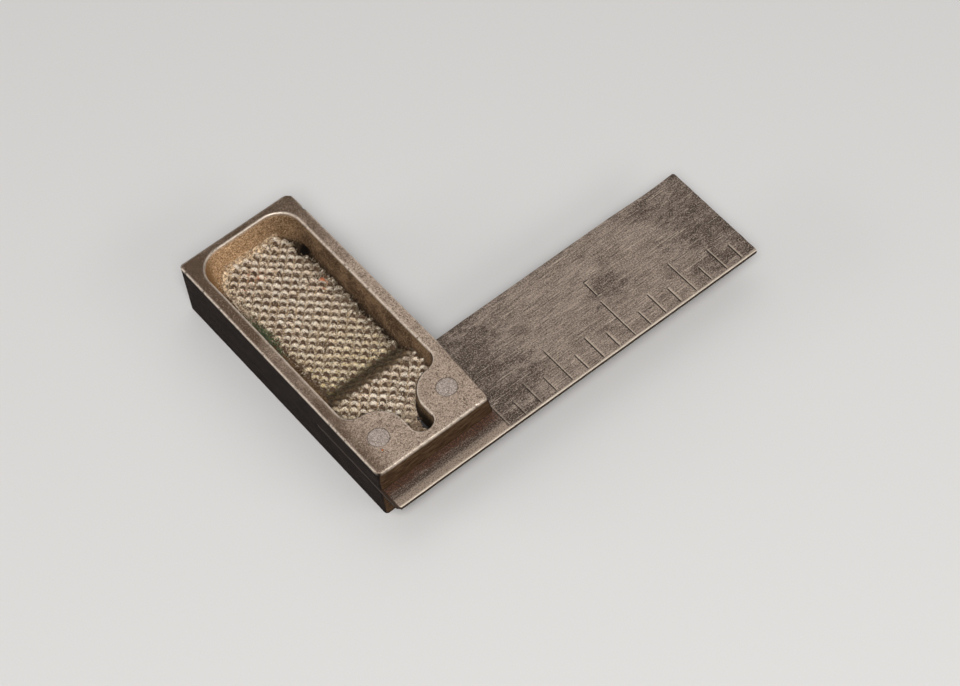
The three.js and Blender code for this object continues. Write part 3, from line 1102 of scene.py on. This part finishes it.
def hollow_walls(s, x, y, z, speckle, grain, blotch):
    """The hollow's walls: brown; a brighter golden at the far end, partly painted light; golden along the
    outer foot; and black low down with painted shade and dirt.
    """
    golden = s.layers(
        s.mix(s.range(grain, 0.3, 0.7), (0.25, 0.14, 0.062), (0.5, 0.31, 0.165)),
        (speckle, 0.38, 0.49, 0.9, 0, (0.08, 0.04, 0.018)),
        (speckle, 0.52, 0.62, 0, 0.85, (0.9, 0.62, 0.38)),
    )
    wall = s.layers(
        s.mix(s.range(blotch, 0.4, 0.6), (0.062, 0.036, 0.02), (0.165, 0.102, 0.058)),
        (grain, 0.38, 0.52, 0.85, 0, (0.035, 0.02, 0.012)),
        (speckle, 0.52, 0.64, 0, 0.8, (0.4, 0.265, 0.155)),
    )
    # Painted light, partly: the far wall is a brighter golden, partly its own golden dirt and partly
    # standing in for the light it catches from the front.
    far_wall = s.times(s.range(y, POCKET_FAR - 6.5, POCKET_FAR - 1.5), s.range(x, -2, 8, 1, 0.3))
    wall = s.mix(far_wall, wall, golden)
    outer_foot = s.times(s.range(x, -7.4, -6.2, 1, 0), s.range(y, -2, 20, 0.1, 0.8))
    wall = s.mix(outer_foot, wall, (0.24, 0.13, 0.055))
    # Painted shade and dirt: black at the foot of the inner wall beside the cloth, blackest where the cloth
    # is notched.
    corner = s.times(s.range(x, 5.5, 7.0), s.range(z, 5.0, 6.4, 0.85, 0))
    notch = s.times(s.near((8.0, NOTCH_Y - 0.5, 5.2), 2.4), s.range(z, 5.9, 6.5, 1, 0))
    wall = s.mix(s.most(corner, notch), wall, (0.008, 0.006, 0.005))
    # Painted shade: the walls round the boss and the neck are blackened below the rim.
    neck = s.times(s.range(y, -13, -17), s.range(z, 8.6, 11, 0.92, 0.1))
    return s.mix(neck, wall, (0.012, 0.009, 0.007))


def stock_material():
    s = Shader("worn_stock_steel_with_painted_shade")
    x, y, z = s.axis("X"), s.axis("Y"), s.axis("Z")
    speckle = s.noise(0.21, 3, 0.85)
    grain = s.noise(0.42, 5, 0.85)
    blotch = s.noise(4.0, 5, 0.7)
    # Painted shade: the sides are near-black and the near end dark brown, partly dark oxide and partly
    # standing in for the dark bench these faces reflect.
    side = s.range(s.noise(1.6, 4, 0.65, stretch=(1, 3, 1)), 0.35, 0.7)
    side = s.mix(side, (0.009, 0.006, 0.005), (0.02, 0.013, 0.0105))
    end = s.range(s.noise(0.3, 3, 0.7, stretch=(7, 1, 1)), 0.35, 0.7)
    end = s.mix(end, (0.035, 0.019, 0.01), (0.095, 0.056, 0.031))
    under = s.mix(s.range(grain, 0.3, 0.7), (0.14, 0.115, 0.095), (0.26, 0.22, 0.19))
    top_face = s.range(z, TOP - 0.26, TOP - 0.17)
    underside = s.range(z, 0.12, 0.02)
    color = s.mix(s.range(y, NEAR_END + 0.25, NEAR_END + 0.1), side, end)
    color = s.mix(top_face, color, worn_top(s, x, y, speckle, grain, blotch))
    color = s.mix(s.attribute("hollow"), color, hollow_walls(s, x, y, z, speckle, grain, blotch))
    color = s.mix(underside, color, under)
    # Painted shade on the top's edges where they face the far end; elsewhere the edges are worn bright,
    # brightened further as a painted highlight.
    edge = s.times(s.attribute("edge"), s.range(z, TOP - 1.6, TOP - 1.1))
    faces_far = s.range(s.facing("Y"), 0.04, 0.25)
    color = s.mix(s.times(edge, s.times(faces_far, 0.9)), color, (0.035, 0.024, 0.017))
    edge = s.times(edge, s.maths("SUBTRACT", 1.0, faces_far))
    edge = s.times(edge, s.range(grain, 0.35, 0.52, 0.3, 0.9))
    color = s.mix(edge, color, (0.78, 0.67, 0.56))
    # One speck of rust stands by the outer rivet.
    color = s.mix(s.near((-7.7, -23.1, TOP), 0.22), color, (0.5, 0.11, 0.02))
    clean = s.most(top_face, underside)
    rough = s.plus(s.range(grain, 0.3, 0.7, 0.36, 0.52), s.range(clean, 0, 1, 0.16, 0.0))
    normal = s.bump(speckle, 0.03, 0.6)
    normal = s.bump(grain, 0.06, 0.5, normal)
    normal = s.bump(blotch, 0.25, 0.3, normal)
    # Below the top face and above the underside the steel is non-metallic with almost no reflection, which
    # keeps the painted-dark faces dark.
    metallic = s.range(clean, 0, 1, 0.0, 0.85)
    return s.finish(color, rough, metallic, normal, s.range(clean, 0, 1, 0.02, 0.5))


def patina(s, x, y, grain, blotch):
    """How dark the blade is: by the stock, at the tip and its corner, by the numeral, and in patches."""
    by_stock = s.range(x, HALF_WIDTH + 0.5, HALF_WIDTH + 18, 1, 0)
    to_tip = s.range(x, TIP - 17, TIP - 4, 0, 0.75)
    corner = s.plus(s.range(x, TIP - 10, TIP), s.range(y, BLADE_INNER - 8, BLADE_INNER))
    corner = s.range(corner, 0.8, 2.0)
    inner_side = s.range(y, BLADE_INNER - 2.2, BLADE_INNER, 0, 0.45)
    numeral_side = s.near((HALF_WIDTH + INCH + 3.4, BLADE_OUTER + 10.3, BLADE_TOP), 4.5)
    zones = s.most(s.most(by_stock, corner), s.most(inner_side, s.times(numeral_side, 0.65)))
    zones = s.most(zones, to_tip)
    density = s.plus(s.times(zones, 0.5), s.maths("SUBTRACT", blotch, 0.5))
    density = s.plus(density, s.times(s.maths("SUBTRACT", grain, 0.5), 1.5))
    return s.range(density, 0.04, 0.6, 0, 0.85)


def blade_material():
    s = Shader("brushed_blade_steel")
    x, y, z = s.axis("X"), s.axis("Y"), s.axis("Z")
    brushed = s.noise(0.24, 3, 0.75, stretch=(13, 1, 1))
    fine = s.noise(0.17, 2, 0.6, stretch=(26, 1, 1))
    scratch = s.noise(0.15, 1, 0.5, 0.3, stretch=(36, 1, 1))
    speckle = s.noise(0.24, 3, 0.85)
    grain = s.noise(0.6, 5, 0.75, stretch=(2.0, 1, 1))
    blotch = s.noise(3.4, 5, 0.65, 0.4, stretch=(1.6, 1, 1))
    base = s.layers(
        s.mix(s.range(blotch, 0.35, 0.65), (0.31, 0.245, 0.2), (0.225, 0.172, 0.138)),
        (brushed, 0.5, 0.66, 0, 0.62, (0.48, 0.385, 0.31)),
        (brushed, 0.34, 0.49, 0.65, 0, (0.09, 0.063, 0.048)),
        (fine, 0.3, 0.43, 0.8, 0, (0.05, 0.034, 0.026)),
    )
    stain = patina(s, x, y, grain, blotch)
    base = s.layers(
        s.mix(stain, base, (0.056, 0.038, 0.03)),
        (scratch, 0.66, 0.73, 0, 0.6, (0.66, 0.55, 0.45)),
        (scratch, 0.27, 0.34, 0.75, 0, (0.04, 0.028, 0.022)),
    )
    # Beside the stock's near end: rust in the corner, a dark band, then clean metal.
    beside_end = s.range(x, HALF_WIDTH - 0.3, HALF_WIDTH + 0.7, 1, 0)
    beside_end = s.times(beside_end, s.range(z, BLADE_TOP - 0.2, BLADE_TOP - 0.1))
    clean = s.times(beside_end, s.range(y, NEAR_END - 2.0, NEAR_END - 3.0, 0, 0.8))
    base = s.mix(clean, base, (0.42, 0.33, 0.26))
    dark_band = s.times(beside_end, s.range(y, NEAR_END - 2.9, NEAR_END - 1.9))
    base = s.mix(s.times(dark_band, 0.5), base, (0.12, 0.085, 0.062))
    base = s.layers(
        base,
        (speckle, 0.37, 0.48, 0.78, 0, (0.045, 0.031, 0.023)),
        (speckle, 0.52, 0.64, 0, 0.7, (0.56, 0.455, 0.37)),
    )
    rust = s.plus(s.range(y, NEAR_END - 2.6, NEAR_END - 0.5, 0, 0.5), grain)
    rust = s.times(beside_end, s.range(rust, 0.6, 0.95))
    rust_color = s.mix(s.range(speckle, 0.44, 0.58), (0.008, 0.004, 0.002), (0.1, 0.036, 0.015))
    base = s.mix(s.times(rust, 0.93), base, rust_color)
    in_slot = s.times(s.range(x, HALF_WIDTH, HALF_WIDTH - 1), s.range(y, NEAR_END, NEAR_END + 1))
    base = s.mix(s.times(in_slot, 0.9), base, (0.025, 0.025, 0.028))
    # Painted shade in the engraved strokes, most on their wall towards the butt; a painted highlight on
    # each stroke's lip towards the tip, and along the outer top edge.
    base = s.mix(s.times(s.attribute("groove"), 0.95), base, (0.02, 0.014, 0.011))
    base = s.mix(s.times(s.attribute("lip"), 0.6), base, (0.75, 0.63, 0.51))
    base = s.mix(s.times(s.attribute("edge"), 0.75), base, (0.88, 0.76, 0.62))
    # Painted shade: the skirt, the blade's sides and its butt in the stock's outer side, is painted
    # near-black and given little reflection.
    skirt = s.range(z, BLADE_TOP - 0.06, BLADE_TOP - 0.15)
    skirt = s.times(skirt, s.range(z, BLADE_UNDER + 0.02, BLADE_UNDER + 0.06))
    skirt = s.most(skirt, s.range(x, BUTT + 0.5, BUTT + 0.3))
    base = s.mix(s.times(skirt, 0.97), base, (0.03, 0.019, 0.013))
    rough = s.plus(s.range(speckle, 0.35, 0.6, 0.52, 0.34), s.times(stain, 0.14))
    normal = s.bump(brushed, 0.014, 0.55)
    normal = s.bump(speckle, 0.03, 0.7, normal)
    normal = s.bump(blotch, 0.05, 0.3, normal)
    metallic = s.maths("SUBTRACT", 0.85, s.most(rust, skirt), clamp=True)
    return s.finish(base, rough, metallic, normal, s.range(skirt, 0, 1, 0.5, 0.05))


def rivet_material():
    s = Shader("filed_rivet_steel")
    speckle = s.noise(0.18, 3, 0.85)
    patches = s.noise(0.55, 5, 0.8)
    color = s.layers(
        s.mix(s.range(patches, 0.38, 0.62), (0.25, 0.2, 0.17), (0.48, 0.4, 0.35)),
        (speckle, 0.36, 0.48, 0.85, 0, (0.12, 0.09, 0.072)),
        (speckle, 0.52, 0.63, 0, 0.9, (0.78, 0.68, 0.6)),
    )
    # A dark ring where each head meets its countersink.
    for place in RIVET_PLACES:
        reach = s.distance((place[0], place[1], TOP))
        rim = s.times(s.range(reach, RIVET_RADIUS - 0.16, RIVET_RADIUS - 0.06), 0.75)
        rim = s.times(rim, s.range(reach, RIVET_RADIUS + 0.5, RIVET_RADIUS + 1, 1, 0))
        color = s.mix(rim, color, (0.07, 0.052, 0.04))
    normal = s.bump(speckle, 0.03, 0.6)
    normal = s.bump(patches, 0.06, 0.5, normal)
    return s.finish(color, s.range(speckle, 0.3, 0.7, 0.42, 0.58), 0.8, normal)


def soiled_cotton(s, x, y, dirt):
    """Cream crests among tan legs, golden in the neck and olive by the step and along the outer wall."""
    crest = s.range(s.attribute("crest"), 0.5, 0.97)
    cream = s.mix(s.range(s.noise(2.0, 3), 0.35, 0.65), (1.0, 0.79, 0.6), (1.0, 0.89, 0.74))
    tan = s.mix(s.range(dirt, 0.35, 0.65), (0.58, 0.385, 0.195), (0.95, 0.67, 0.385))
    color = s.mix(crest, tan, cream)
    golden = s.most(s.near((-6.5, -16.5, 8), 4.5), s.near((0.0, -21.5, 8), 4.5))
    color = s.mix(s.times(golden, 0.7), color, (0.95, 0.7, 0.42))
    olive = s.times(s.range(y, -7, 10, 0.85, 0), s.range(y, -10, -9))
    olive = s.plus(olive, s.range(x, -6.6, -4.2, 0.5, 0), clamp=True)
    olive = s.times(olive, s.range(dirt, 0.36, 0.56, 0.35, 1.0))
    olive = s.most(olive, s.near((-6.2, -7.0, 5.6), 5.0))
    return s.mix(olive, color, s.mix(crest, (0.28, 0.2, 0.035), (0.9, 0.7, 0.34)))


def cloth_material():
    """Cotton yarn with painted shade low down and behind each crest, a brown step partly darkened with
    painted shade, and rusty flecks.
    """
    s = Shader("coarse_looped_cotton")
    x, y = s.axis("X"), s.axis("Y")
    speckle = s.noise(0.28, 3, 0.85)
    flecks = s.noise(0.46, 3, 0.8)
    dirt = s.noise(0.9, 4, 0.75)
    # Painted shade on each yarn's far side and, with some dirt, low down between the yarns; then patches of
    # dirt.
    color = s.layers(
        soiled_cotton(s, x, y, dirt),
        (s.attribute("away"), -0.15, 0.75, 0, 0.88, (0.17, 0.095, 0.052)),
        (s.attribute("relief"), -0.22, 0.3, 0.88, 0, (0.085, 0.047, 0.026)),
        (dirt, 0.56, 0.74, 0, 0.7, (0.17, 0.1, 0.06)),
    )
    frayed = s.times(s.range(x, 5.7, 7.3), s.range(y, -9, -7, 0, 0.85))
    color = s.layers(
        s.mix(frayed, color, (0.11, 0.075, 0.035)),
        (flecks, 0.37, 0.46, 0.88, 0, (0.1, 0.056, 0.031)),
        (speckle, 0.38, 0.48, 0.85, 0, (0.11, 0.064, 0.037)),
        (speckle, 0.51, 0.6, 0, 0.9, (1.0, 0.9, 0.74)),
    )
    in_neck = s.times(s.range(y, -19.5, -20.5), s.range(flecks, 0.46, 0.56, 0.9, 0))
    color = s.mix(in_neck, color, (0.1, 0.058, 0.032))
    # The step over the blade's edge is dark brown, darkest in the crease at its foot: partly dirt, partly
    # painted shade.
    step = s.times(s.range(y, -10.6, -8.8), s.range(y, -6.2, -4.9, 1, 0))
    step_color = s.mix(s.range(y, -8.6, -6.6), (0.115, 0.068, 0.035), (0.032, 0.02, 0.004))
    step_color = s.mix(s.range(flecks, 0.38, 0.6), s.mix(0.6, step_color, (0.02, 0.014, 0.008)), step_color)
    color = s.mix(s.times(step, 0.93), color, step_color)
    rust = s.range(s.noise(0.55, 2, 0.5), 0.54, 0.62)
    upper = s.most(s.near((-1.0, 20.5, 5.6), 2.2), s.near((-4.0, 19.6, 5.6), 1.3))
    where = s.most(upper, s.near((5.9, 12.4, 5.6), 2.1))
    color = s.mix(s.times(where, s.times(rust, 0.85)), color, (0.62, 0.15, 0.045))
    uv = s.node("UVMap", uv_map="yarn").outputs["UV"]
    twist = s.node("Mapping", {"Vector": uv, "Scale": (2.4, 3.0, 1.0)}).outputs["Vector"]
    settings = {"Vector": twist, "Scale": 1.0, "Distortion": 5.0, "Detail": 3.0}
    wave = s.node("TexWave", settings, wave_type="BANDS", bands_direction="DIAGONAL").outputs["Fac"]
    color = s.mix(s.range(wave, 0.0, 0.45, 0.35, 0), color, (0.16, 0.1, 0.06))
    normal = s.bump(wave, 0.1, 0.8)
    normal = s.bump(speckle, 0.16, 1.0, normal)
    return s.finish(color, 0.85, 0.0, normal, 0.12)


def cloth_base_material():
    s = Shader("matted_cotton_fibre_gap_shade")
    fuzz = s.noise(0.2, 4, 0.7)
    # Painted shade, partly: the matted fibre is dark brown, standing in also for the shade in the gaps
    # between the yarns.
    color = s.mix(s.range(fuzz, 0.3, 0.7), (0.035, 0.02, 0.011), (0.15, 0.088, 0.05))
    return s.finish(color, 0.95, 0.0, s.bump(fuzz, 0.1, 0.8))


def fibre_material():
    s = Shader("loose_cotton_fibre")
    y = s.axis("Y")
    color = s.mix(s.attribute("number"), (0.42, 0.3, 0.19), (0.88, 0.74, 0.56))
    golden = s.range(y, CLOTH_FAR - 5.5, CLOTH_FAR - 2.0, 0, 0.6)
    color = s.mix(golden, color, (0.95, 0.7, 0.42))
    color = s.mix(s.range(s.noise(0.3, 4, 0.8), 0.5, 0.62, 0, 0.85), color, (0.16, 0.09, 0.045))
    in_neck = s.times(s.range(y, -19.5, -20.5), s.range(s.noise(0.6, 3, 0.8), 0.46, 0.56, 0.85, 0))
    color = s.mix(in_neck, color, (0.13, 0.075, 0.04))
    color = s.mix(s.range(s.noise(0.5, 3, 0.8), 0.44, 0.54, 0.8, 0), color, (0.14, 0.08, 0.042))
    # The fibres on the step are darkened like the cloth there: partly dirt, partly painted shade.
    low = s.times(s.range(y, -10.4, -9.3), s.range(y, -6.0, -3.0, 1, 0))
    color = s.mix(s.times(low, 0.93), color, (0.06, 0.042, 0.013))
    by_wall = s.times(s.range(s.axis("X"), 6.2, 7.6), 0.75)
    color = s.mix(by_wall, color, (0.1, 0.07, 0.035))
    return s.finish(color, 0.8, 0.0, s.bump(s.noise(0.1, 2), 0.02, 0.5), sheen=0.1)


def lint_material():
    s = Shader("green_wool_lint")
    color = s.mix(s.attribute("number"), (0.04, 0.052, 0.018), (0.12, 0.155, 0.055))
    return s.finish(color, 0.85, 0.0, s.bump(s.noise(0.1, 2), 0.02, 0.5), sheen=0.2)


def floor_material():
    s = Shader("pale_floor")
    return s.finish((0.54, 0.53, 0.52), 0.75, 0.0, s.bump(s.noise(8.0, 2), 0.02, 0.1))


def dress(piece, material, slot_name, *nodes):
    piece.data.materials.clear()
    piece.data.materials.append(material)
    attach(piece, "root")
    if nodes:
        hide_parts(*nodes)


# ---------------------------------------------------------------- scene


def direction(azimuth, elevation):
    """A unit vector towards an azimuth, counted from the near end, and an elevation, both in degrees."""
    a, e = math.radians(azimuth), math.radians(elevation)
    return Vector((math.sin(a) * math.cos(e), -math.cos(a) * math.cos(e), math.sin(e)))


def add_camera():
    """A long lens from the front left, 55 degrees above the bench, turned a little on its axis."""
    roll = math.radians(-8.56)
    distance = 0.4606
    target = Vector((0.01769, -0.01439, 0.006))
    back = direction(-31.56, 55.25)
    data = bpy.data.cameras.new("camera")
    data.lens, data.sensor_width = 109.61, 36
    data.clip_start, data.clip_end = 0.01, 10
    camera = bpy.data.objects.new("camera", data)
    bpy.context.scene.collection.objects.link(camera)
    camera.rotation_mode = "QUATERNION"
    camera.location = target + back * distance
    camera.rotation_quaternion = (-back).to_track_quat("-Z", "Y") @ Quaternion((0, 0, 1), roll)
    bpy.context.scene.camera = camera


def add_light(name, azimuth, elevation, distance, size, power):
    back = direction(azimuth, elevation)
    data = bpy.data.lights.new(name, "AREA")
    data.shape, data.size, data.size_y = "RECTANGLE", size[0], size[1]
    data.energy = power
    light = bpy.data.objects.new(name, data)
    bpy.context.scene.collection.objects.link(light)
    light.location = Vector((0.01, 0, 0)) + back * distance
    light.rotation_mode = "QUATERNION"
    light.rotation_quaternion = (-back).to_track_quat("-Z", "Y")


def add_studio():
    scene = bpy.context.scene
    scene.view_settings.view_transform = "Standard"
    world = bpy.data.worlds.new("studio")
    scene.world = world
    world.use_nodes = True
    nodes, links = world.node_tree.nodes, world.node_tree.links
    background = nodes["Background"]
    place = nodes.new("ShaderNodeTexCoord").outputs["Generated"]
    split = nodes.new("ShaderNodeSeparateXYZ")
    links.new(place, split.inputs[0])
    ramp = nodes.new("ShaderNodeMapRange")
    ramp.inputs["From Min"].default_value, ramp.inputs["From Max"].default_value = 0.0, 0.9
    ramp.inputs["To Min"].default_value, ramp.inputs["To Max"].default_value = 0.16, 0.28
    links.new(split.outputs["Z"], ramp.inputs["Value"])
    links.new(ramp.outputs["Result"], background.inputs["Strength"])
    background.inputs["Color"].default_value = (1.0, 0.985, 0.96, 1)
    add_light("key_softbox", -32, 56, 0.8, (0.3, 0.3), 5.6)
    add_light("front_strip", 20, 29, 0.6, (0.45, 0.14), 0.9)
    add_light("back_softbox", 148, 55, 0.8, (0.8, 0.8), 1.35)
    add_light("outer_strip", -121, 17, 0.6, (0.4, 0.1), 1.0)
    bpy.ops.mesh.primitive_plane_add(size=3, location=(0, 0, -0.00002))
    floor = bpy.context.object
    floor.name = "floor"
    floor.data.materials.append(floor_material())


add_camera()
add_studio()

dress(make_stock(), stock_material(), "stock_steel", "stock")
dress(make_blade(), blade_material(), "blade_steel", "blade")
for rivet_name in RIVETS:
    dress(make_rivet("steel_" + rivet_name, rivet_name), rivet_material(), "rivet_steel", rivet_name)
base = make_cloth_base()
yarns = make_yarns()
strands = make_edge_strands()
fibres = make_fibres()
tuft = make_tuft()
dress(base, cloth_base_material(), "cloth", "cloth_lining")
dress(yarns, cloth_material(), "cloth")
dress(strands, fibre_material(), "cloth")
dress(fibres, fibre_material(), "cloth")
dress(tuft, lint_material(), "cloth")
